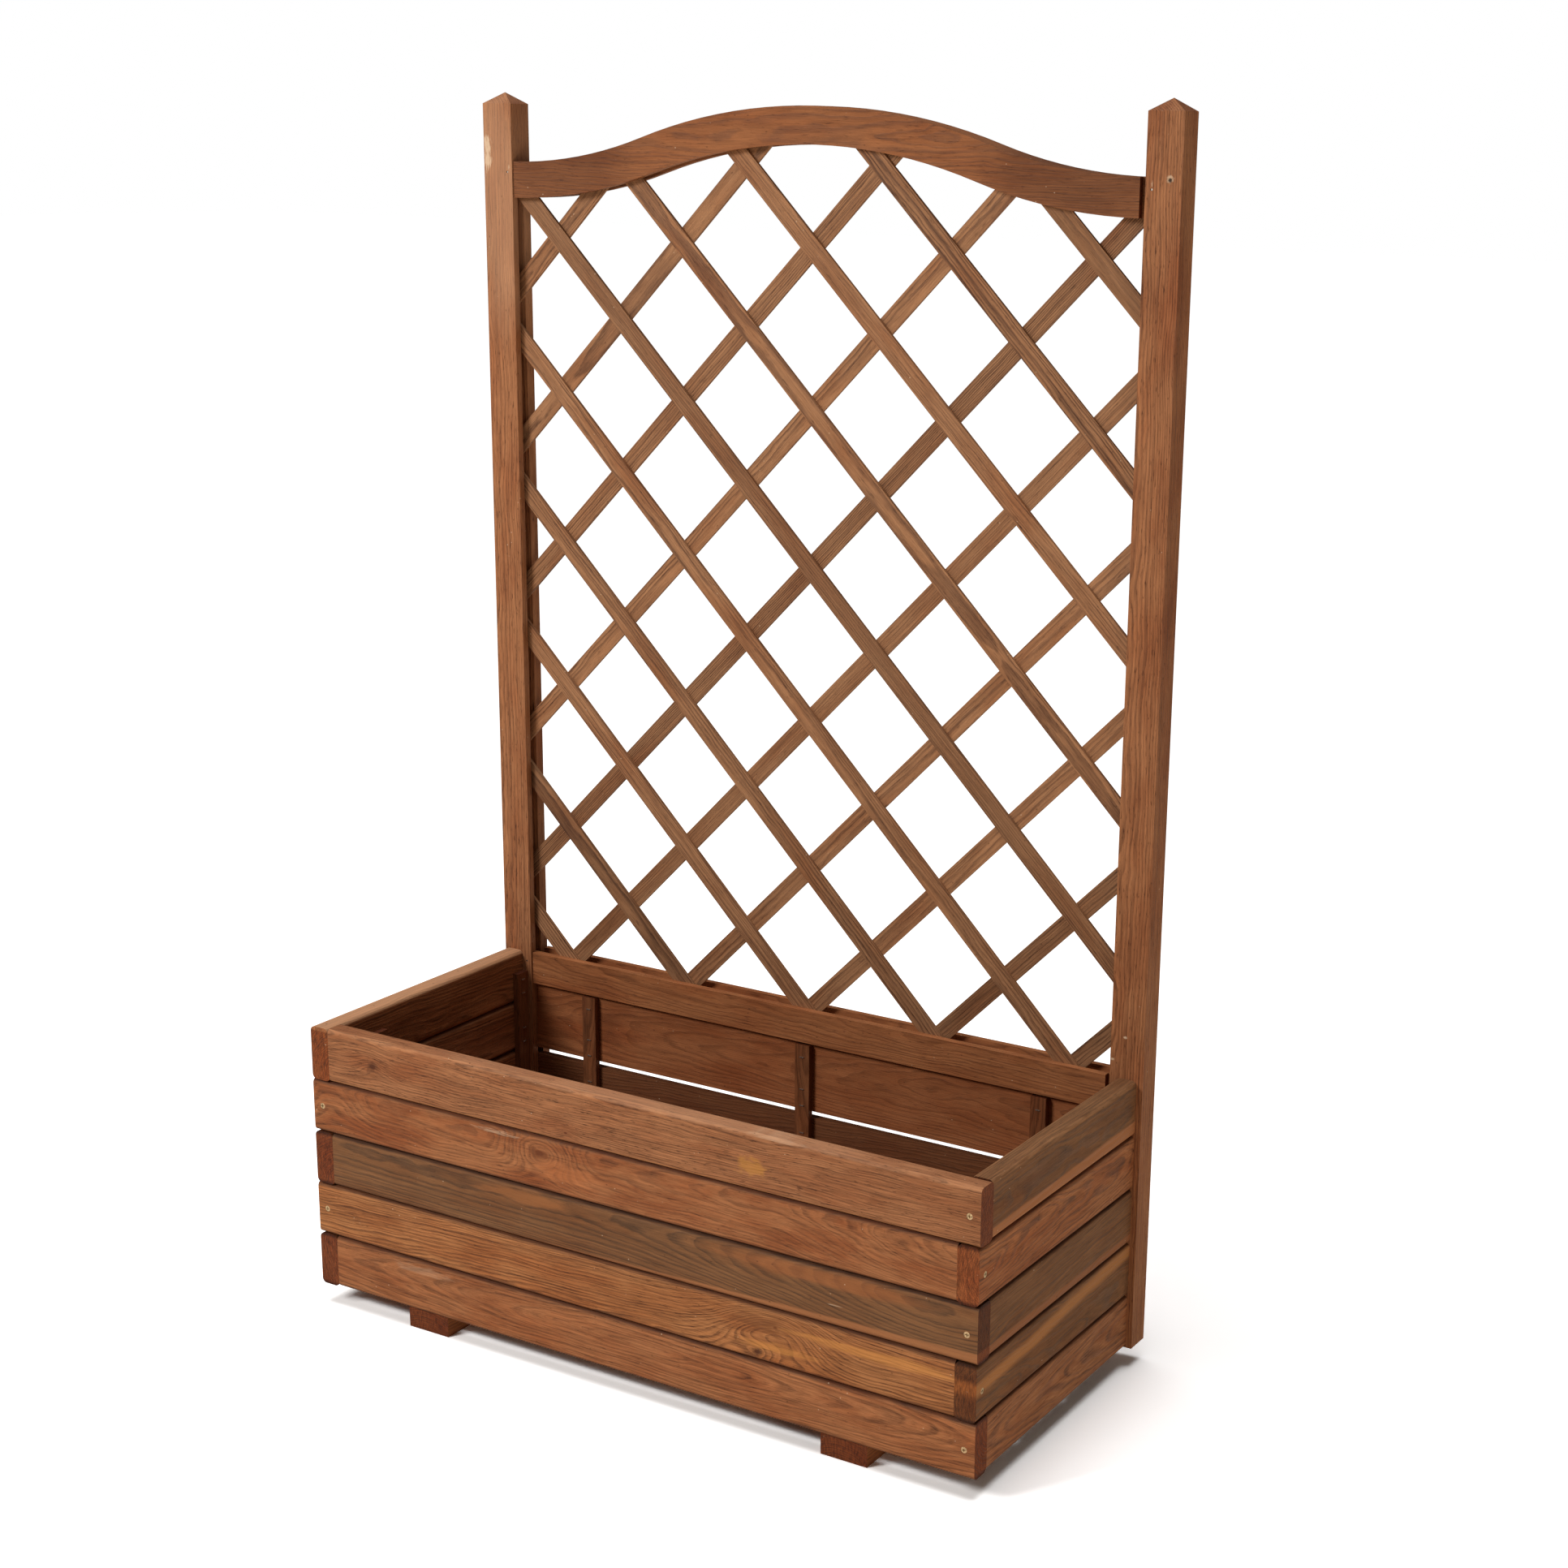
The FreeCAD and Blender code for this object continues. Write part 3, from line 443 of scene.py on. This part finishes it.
# Each front board: the pith of its rings, its knots (place, heart radius, bulge, reach) and its marks.
FRONT_BOARDS = {
    1: dict(
        tone="brown", seed=11.0, pith=(-62.0, 58.0), drift=(0.02, 0.03), rings=2.3, wander=16.0, flecks=0.9,
        knots=(((-366.0, 0.0), 3.5, 6.0, 14.0), ((-88.0, -21.0), 1.5, 5.0, 9.0)),
        marks=(
            patch(157, -6, 24, 13, YELLOW, 0.45, 1.8), patch(186, 31, 40, 3, PALE, 0.2, 2.0),
            patch(-366, 0, 12, 9, DARK_SPOT, 0.5, 1.8), patch(20, 34, 420, 6, (190, 144, 110), 0.3, 1.4),
        ),
    ),
    2: dict(
        tone="orange", seed=23.0, pith=(-58.0, 20.0), drift=(0.01, 0.01), rings=2.5, wander=15.0, blotch=0.75,
        contrast=0.38, fibre=0.75,
        knots=(
            ((-99.0, 12.0), 4.0, 26.0, 26.0), ((460.0, 16.0), 0.1, -30.0, 105.0),
            ((-404.0, 6.0), 0.1, 8.0, 26.0),
        ),
        marks=(
            patch(-99, 12, 20, 9, (104, 56, 30), 0.65, 1.6), patch(-160, 24, 34, 3, PALE, 0.3, 2.8),
            patch(-60, -6, 60, 16, (196, 122, 74), 0.35, 1.6),
        ),
    ),
    3: dict(
        tone="grey", seed=37.0, pith=(-58.0, 20.0), drift=(0.0, 0.0), rings=2.8, wander=5.0, contrast=0.66,
        fibre=0.7, blotch=0.35, flecks=0.3, knots=(((396.0, 19.0), 0.1, -34.0, 150.0),),
        marks=(
            stripe(-40, -27, (176, 116, 74), 0.6, 1.5, 2.0, 0.018),
            patch(-155, 20, 80, 12, (168, 106, 60), 0.45, 1.4),
            patch(240, 20, 190, 13, (170, 102, 58), 0.42, 0.9), patch(262, -8, 12, 1.0, PALE, 0.3),
        ),
    ),
    4: dict(
        tone="bright", seed=41.0, pith=(-70.0, -64.0), drift=(0.02, 0.02), rings=2.6, wander=12.0,
        contrast=0.62,
        knots=(((214.0, 12.0), 2.0, -34.0, 40.0), ((191.0, -22.0), 2.5, 8.0, 14.0)),
        marks=(
            patch(196, 12, 46, 15, (112, 66, 36), 0.6, 1.4), patch(345, 12, 130, 9, (212, 146, 78), 0.5, 1.2),
            patch(215, -12, 60, 7, (214, 146, 76), 0.45, 1.4), patch(191, -22, 10, 5, DARK_SPOT, 0.6, 1.6),
        ),
    ),
    5: dict(
        tone="orange", seed=59.0, **eye(20, 10, 0.07), rings=4.2, wander=14.0, contrast=0.4,
        marks=(patch(-300, 20, 50, 7, PALE, 0.14, 2.4),),
    ),
}
SIDE_BOARDS = {
    "left": {1: "rail", 2: "orange", 3: "orange", 4: "orange", 5: "orange"},
    "right": {1: "grey", 2: "orange", 3: "grey", 4: "grey", 5: "brown"},
}
SIDE_ENDS = {("right", 2): (255, 226, 200), ("left", 1): (255, 222, 190), ("right", 4): (236, 204, 178)}
SIDE_MARKS = {
    ("left", 1): (stripe(28, 40, (204, 160, 124), 0.45, 1.0, 2.0),),
    ("right", 1): (stripe(-40, -17, (170, 112, 72), 0.8, 1.5, 6.0, 0.02),),
    ("right", 3): (stripe(-40, -20, (150, 96, 62), 0.7, 2.0, 4.0),),
    ("right", 4): (stripe(6, 22, (190, 130, 76), 0.6, 5.0, 14.0, 0.06),),
}
POSTS = {
    "post_left": dict(seed=7.0, level=1.03, marks=(
        patch(560, 0, 190, 50, (196, 154, 122), 0.35, 0.6), patch(620, 15, 26, 6, PALE, 0.7, 2.6),
        patch(603, -16, 4, 1.5, PALE, 0.35, 1.6),
    )),
    "post_right": dict(seed=71.0, marks=(
        patch(608, -7, 4.6, 4.8, PALE, 0.6, 1.2), patch(607, -7, 3.2, 3.2, (40, 24, 16), 0.95, 0.3),
        patch(603, 13, 4, 1.5, PALE, 0.3, 1.6), patch(-314, 3, 2, 3, PALE, 0.7),
        patch(-342, 18, 2, 3, PALE, 0.7),
    )),
}
RAILS = {
    "top_rail": dict(seed=13.0, level=0.92, marks=(
        patch(-340, 0, 150, 90, (204, 198, 196), 0.95, 0.4, "MULTIPLY"),
        patch(340, 0, 150, 90, (204, 200, 200), 0.95, 0.4, "MULTIPLY"),
    )),
    "bottom_rail": dict(seed=29.0, level=1.2),
}
SKIDS = {"skid_left": 3.0, "skid_right": 5.0}
# How light each board of the back is painted: the top one much the palest as painted light, the two below
# darker as painted shade.
BACK_LIGHT_AND_SHADE = {1: 1.42, 2: 0.7, 3: 0.7}
# How far apart the slats of one layer lie, in mm, measured upwards and across.
LATTICE_PITCH_UP = 178.9
LATTICE_PITCH_ACROSS = 176.4


def dress_box():
    """The boards of the front and the sides, tier by tier from the top."""
    for tier, look in FRONT_BOARDS.items():
        wood(f"board_front_{tier}", ACROSS, groove_shade=GROOVE_SHADE_STRENGTH if tier > 1 else 0.0, **look)
    for side, tones in SIDE_BOARDS.items():
        for tier, tone in tones.items():
            chance = random.Random(f"{side}{tier}")
            wood(
                f"board_{side}_{tier}", BACKWARDS, tone, chance.uniform(0, 90),
                pith=(chance.uniform(-80, -40), chance.uniform(-50, 50)),
                drift=(chance.uniform(-0.06, 0.06), chance.uniform(-0.03, 0.03)),
                rings=chance.uniform(2.2, 3.4), wander=chance.uniform(8, 20),
                marks=SIDE_MARKS.get((side, tier), ()), end=SIDE_ENDS.get((side, tier), END_GRAIN),
                groove_shade=GROOVE_SHADE_STRENGTH if tier > 1 else 0.0,
            )


def dress_frame():
    """The posts and the rails between them."""
    for name, look in POSTS.items():
        wood(name, UPRIGHT, "post", pith=(-70.0, 30.0), drift=(0.006, 0.01), rings=2.1, wander=9.0,
             fibre=0.7, flecks=0.8, worn=0.6, **look)
    for name, look in RAILS.items():
        wood(name, ACROSS, "rail", pith=(-66.0, 22.0), drift=(0.015, 0.01), rings=2.3, wander=11.0,
             contrast=0.36, fibre=0.55, blotch=0.4, worn=0.4, **look)


def dress_inside():
    """The skids, the boards of the back and the floor, and the battens."""
    for name, seed in SKIDS.items():
        wood(name, BACKWARDS, "rail", seed, pith=(8.0, -50.0), drift=(0.01, 0.0), rings=2.6)
    # The back boards' levels are painted light and shade.
    for number, level in BACK_LIGHT_AND_SHADE.items():
        wood(f"back_board_{number}", ACROSS, "inner", 17.0 * number, pith=(-70.0, 40.0 - 30.0 * number),
             drift=(0.03, 0.03), rings=2.6, contrast=0.36, fibre=0.6, level=level)
        wood(f"floor_board_{number}", FLAT, "inner", 19.0 * number, drift=(0.02, 0.03), rings=2.8)
    for name in nodes:
        if "batten" in name and "staple" not in name:
            chance = random.Random(name)
            wood(name, UPRIGHT, "inner", chance.uniform(0, 90), pith=(-60.0, chance.uniform(-30, 30)),
                 drift=(0.01, 0.0), rings=2.2, level=0.85)


def dress_lattice():
    """The slats, each leaning the way its layer does."""
    lean = math.atan(LATTICE_PITCH_UP / LATTICE_PITCH_ACROSS)
    for name in nodes:
        if name.startswith("slat_"):
            chance = random.Random(name)
            wood(
                name, (0.0, lean if "front" in name else -lean, 0.0), "slat", chance.uniform(0, 90),
                pith=(chance.uniform(-50, -20), chance.uniform(-60, 60)),
                drift=(chance.uniform(-0.008, 0.008), chance.uniform(-0.01, 0.01)),
                rings=chance.uniform(1.8, 2.8), wander=5.0, level=chance.uniform(0.88, 1.22),
                contrast=chance.uniform(0.35, 0.8), fibre=0.8, blotch=0.3, worn=0.5,
            )


# ---------------------------------------------------------------- metal

def metal(name, colour, roughness):
    """A worn plated metal."""
    material, g = new_material(name)
    place = g.add("ShaderNodeTexCoord").outputs["Object"]
    dirt = g.noise(g.stretch(place, 700.0, 700.0, 700.0), 3.0)
    tint = g.mix(g.smooth(dirt, 0.45, 0.75), screen(*colour), screen(*(level * 0.6 for level in colour)))
    rough = g.add(
        "ShaderNodeMapRange", {"Value": dirt, "To Min": roughness - 0.08, "To Max": roughness + 0.15}
    )
    bump = g.add("ShaderNodeBump", {"Height": dirt, "Strength": 0.25, "Distance": 0.0001})
    shader = g.add(
        "ShaderNodeBsdfPrincipled",
        {"Base Color": tint, "Roughness": rough.outputs[0], "Normal": bump.outputs[0]},
    )
    shader.inputs["Metallic"].default_value = 1.0
    g.plug(shader.outputs[0], g.add("ShaderNodeOutputMaterial").inputs["Surface"])
    return material


def dress_fasteners():
    """Yellow zinc on the screws, bright wire on the pins, staples and nails."""
    zinc = metal("yellow_zinc", (208, 184, 148), 0.4)
    wire = metal("bright_wire", (206, 198, 188), 0.4)
    for name in ("corner_screws", "frame_screws"):
        dress(nodes[name], zinc)
    for name in ("frame_pins", "batten_staples", "floor_nails", "lattice_staples"):
        dress(nodes[name], wire)


# ---------------------------------------------------------------- edges

# How wide the eased edges are, in mm, by the start of the node's name.
EASED_EDGES = {
    "slat": 0.5, "post": 1.2, "top_rail": 1.5, "bottom_rail": 1.2, "skid": 1.0, "floor_board": 0.8,
    "back_": 0.8, "corner_batten": 0.8, "board_": 0.6,
}


def ease_edges():
    """Round the sharp edges of every wooden piece."""
    for name, thing in nodes.items():
        for start, width in EASED_EDGES.items():
            if name.startswith(start):
                soften(thing, width * MM)


# ---------------------------------------------------------------- studio

def area_light(name, place, target, size, power, colour):
    """A soft square lamp that looks at a target."""
    lamp = bpy.data.lights.new(name, "AREA")
    lamp.size = size
    lamp.energy = power
    lamp.color = colour
    thing = bpy.data.objects.new(name, lamp)
    thing.location = place
    thing.rotation_euler = (Vector(target) - Vector(place)).to_track_quat("-Z", "Y").to_euler()
    bpy.context.collection.objects.link(thing)


def make_lights():
    """A key from the upper front left, a weaker fill from the right, and soft light from above."""
    area_light("key", (-1.6, -2.6, 2.6), (0.0, 0.0, 0.8), 1.1, 92.0, (1.0, 0.985, 0.96))
    area_light("fill", (2.6, -1.1, 0.35), (0.0, 0.0, 0.4), 0.6, 10.0, (1.0, 0.86, 0.7))
    lamp = bpy.data.lights.new("overhead", "SUN")
    lamp.energy = 2.1
    lamp.angle = math.radians(35)
    bpy.context.collection.objects.link(bpy.data.objects.new("overhead", lamp))


def make_world():
    """Weak even light that shows white behind the object."""
    world = bpy.data.worlds.new("studio")
    bpy.context.scene.world = world
    world.use_nodes = True
    world.node_tree.nodes.clear()
    g = Graph(world.node_tree)
    seen = g.add("ShaderNodeLightPath").outputs["Is Camera Ray"]
    ambient = g.add("ShaderNodeBackground", {"Color": (1.0, 0.88, 0.76, 1.0), "Strength": 0.09})
    white = g.add("ShaderNodeBackground", {"Color": (1.0, 1.0, 1.0, 1.0), "Strength": 1.0})
    either = g.add("ShaderNodeMixShader", {0: seen, 1: ambient.outputs[0], 2: white.outputs[0]})
    g.plug(either.outputs[0], g.add("ShaderNodeOutputWorld").inputs["Surface"])


def make_floor():
    """A pale floor, exposed just to white round the planter's soft shadow, that casts warm light back."""
    bpy.ops.mesh.primitive_plane_add(size=60.0)
    floor = bpy.context.object
    floor.name = "studio_floor"
    material, g = new_material("pale_floor")
    place = g.add("ShaderNodeTexCoord").outputs["Object"]
    speck = g.noise(g.stretch(place, 60.0, 60.0, 60.0))
    tint = g.mix(speck, (1.4, 1.4, 1.41, 1.0), (1.46, 1.46, 1.47, 1.0))
    bright = g.add("ShaderNodeBsdfDiffuse", {"Color": tint})
    warm = g.add("ShaderNodeBsdfDiffuse", {"Color": (0.84, 0.74, 0.62, 1.0)})
    seen = g.add("ShaderNodeLightPath").outputs["Is Camera Ray"]
    choice = g.add("ShaderNodeMixShader", {0: seen, 1: warm.outputs[0], 2: bright.outputs[0]})
    g.plug(choice.outputs[0], g.add("ShaderNodeOutputMaterial").inputs["Surface"])
    dress(floor, material)


# The camera, fitted to the planter's corners: its place in metres, its azimuth, dip and roll in
# radians, its lens in mm and the shift of its picture.
CAMERA_PLACE = (1.55486, -2.26934, 1.35626)
CAMERA_ANGLES = (0.52401, 0.27306, 0.0176)
CAMERA_LENS = 58.486
CAMERA_SHIFT = (-0.0823, 0.0431)


def make_camera():
    """A camera at chest height, to the right of the planter's front."""
    azimuth, dip, roll = CAMERA_ANGLES
    ahead = Vector((-math.sin(azimuth) * math.cos(dip), math.cos(azimuth) * math.cos(dip), -math.sin(dip)))
    level = Vector((math.cos(azimuth), math.sin(azimuth), 0.0))
    upright = level.cross(ahead)
    right = math.cos(roll) * level + math.sin(roll) * upright
    up = math.cos(roll) * upright - math.sin(roll) * level
    lens = bpy.data.cameras.new("camera")
    lens.sensor_width = 36.0
    lens.lens = CAMERA_LENS
    lens.shift_x, lens.shift_y = CAMERA_SHIFT
    camera = bpy.data.objects.new("camera", lens)
    turn = Matrix((right, up, -ahead)).transposed()
    camera.matrix_world = Matrix.Translation(CAMERA_PLACE) @ turn.to_4x4()
    bpy.context.collection.objects.link(camera)
    bpy.context.scene.camera = camera


dress_box()
dress_frame()
dress_inside()
dress_lattice()
dress_fasteners()
ease_edges()
make_lights()
make_world()
make_floor()
make_camera()
bpy.context.scene.view_settings.view_transform = "Standard"
